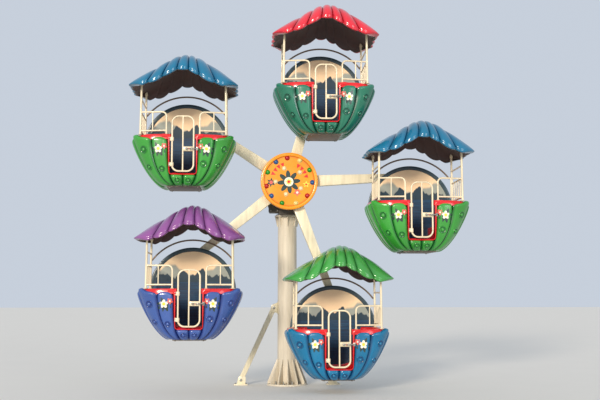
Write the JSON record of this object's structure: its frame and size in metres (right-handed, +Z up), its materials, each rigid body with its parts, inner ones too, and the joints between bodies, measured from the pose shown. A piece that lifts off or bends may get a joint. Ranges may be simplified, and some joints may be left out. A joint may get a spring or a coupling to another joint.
{
  "type": "kids' ferris wheel",
  "caption": "Small kids' ferris wheel: a single column carries a turning hub whose arms hold level, petal-shaped cabins with leaf roofs and hinged doors.",
  "frame": {"origin": "centre of the base flange's flat underside, on the floor", "axes": "+Z up, the cabins and their doors face -Y, the wheel turns about a line along Y"},
  "size_m": [3.9603, 1.7243, 4.5175],
  "materials": {
    "column_paint": "satin",
    "cream_paint": "gloss",
    "dark_steel": "satin",
    "cover_orange": "gloss",
    "panel_ring": "satin",
    "liner_red": "gloss",
    "bowl_teal": "gloss",
    "bowl_green": "gloss",
    "bowl_blue": "gloss",
    "bowl_indigo": "gloss",
    "canopy_red": "gloss",
    "canopy_blue": "gloss",
    "canopy_green": "gloss",
    "canopy_purple": "gloss"
  },
  "bodies": {
    "root": {"column": "column_paint", "base_flange": "column_paint", "column_head": "column_paint", "drive_unit": "dark_steel", "left_brace": "cream_paint", "right_brace": "cream_paint"},
    "wheel": {"hub": "dark_steel", "hub_cover": "cover_orange", "arm_1": "cream_paint", "arm_2": "cream_paint", "arm_3": "cream_paint", "arm_4": "cream_paint", "arm_5": "cream_paint"},
    "cabin_1": {"back_panel_1": "panel_ring", "bowl_1": "bowl_teal", "liner_1": "liner_red", "frame_1": "cream_paint", "canopy_1": "canopy_red"},
    "door_1": {"door_1": "cream_paint"},
    "cabin_2": {"back_panel_2": "panel_ring", "bowl_2": "bowl_green", "liner_2": "liner_red", "frame_2": "cream_paint", "canopy_2": "canopy_blue"},
    "door_2": {"door_2": "cream_paint"},
    "cabin_3": {"back_panel_3": "panel_ring", "bowl_3": "bowl_blue", "liner_3": "liner_red", "frame_3": "cream_paint", "canopy_3": "canopy_green"},
    "door_3": {"door_3": "cream_paint"},
    "cabin_4": {"back_panel_4": "panel_ring", "bowl_4": "bowl_indigo", "liner_4": "liner_red", "frame_4": "cream_paint", "canopy_4": "canopy_purple"},
    "door_4": {"door_4": "cream_paint"},
    "cabin_5": {"back_panel_5": "panel_ring", "bowl_5": "bowl_green", "liner_5": "liner_red", "frame_5": "cream_paint", "canopy_5": "canopy_blue"},
    "door_5": {"door_5": "cream_paint"}
  },
  "joints": [
    {"name": "wheel_spin", "type": "hinge", "parent": "root", "child": "wheel", "pos_m": [0, -0.03, 2.5], "axis": [0, 1, 0], "continuous": true},
    {"name": "cabin_1_pivot", "type": "hinge", "parent": "wheel", "child": "cabin_1", "pos_m": [0.38815, -0.35, 3.93855], "axis": [0, 1, 0], "continuous": true},
    {"name": "door_1_hinge", "type": "hinge", "parent": "cabin_1", "child": "door_1", "pos_m": [0.26615, -1.2583, 3.45555], "axis": [0, 0, -1], "range_deg": [0, 95]},
    {"name": "cabin_2_pivot", "type": "hinge", "parent": "wheel", "child": "cabin_2", "pos_m": [1.48809, -0.35, 2.57538], "axis": [0, 1, 0], "continuous": true},
    {"name": "door_2_hinge", "type": "hinge", "parent": "cabin_2", "child": "door_2", "pos_m": [1.36609, -1.2583, 2.09238], "axis": [0, 0, -1], "range_deg": [0, 95]},
    {"name": "cabin_3_pivot", "type": "hinge", "parent": "wheel", "child": "cabin_3", "pos_m": [0.53154, -0.35, 1.10804], "axis": [0, 1, 0], "continuous": true},
    {"name": "door_3_hinge", "type": "hinge", "parent": "cabin_3", "child": "door_3", "pos_m": [0.40954, -1.2583, 0.62504], "axis": [0, 0, -1], "range_deg": [0, 95]},
    {"name": "cabin_4_pivot", "type": "hinge", "parent": "wheel", "child": "cabin_4", "pos_m": [-1.15958, -0.35, 1.56434], "axis": [0, 1, 0], "continuous": true},
    {"name": "door_4_hinge", "type": "hinge", "parent": "cabin_4", "child": "door_4", "pos_m": [-1.28158, -1.2583, 1.08133], "axis": [0, 0, -1], "range_deg": [0, 95]},
    {"name": "cabin_5_pivot", "type": "hinge", "parent": "wheel", "child": "cabin_5", "pos_m": [-1.2482, -0.35, 3.31369], "axis": [0, 1, 0], "continuous": true},
    {"name": "door_5_hinge", "type": "hinge", "parent": "cabin_5", "child": "door_5", "pos_m": [-1.3702, -1.2583, 2.83069], "axis": [0, 0, -1], "range_deg": [0, 95]}
  ],
  "couplings": [
    {"joint": "cabin_1_pivot", "follows": "wheel_spin", "ratio": -1},
    {"joint": "cabin_2_pivot", "follows": "wheel_spin", "ratio": -1},
    {"joint": "cabin_3_pivot", "follows": "wheel_spin", "ratio": -1},
    {"joint": "cabin_4_pivot", "follows": "wheel_spin", "ratio": -1},
    {"joint": "cabin_5_pivot", "follows": "wheel_spin", "ratio": -1}
  ]
}
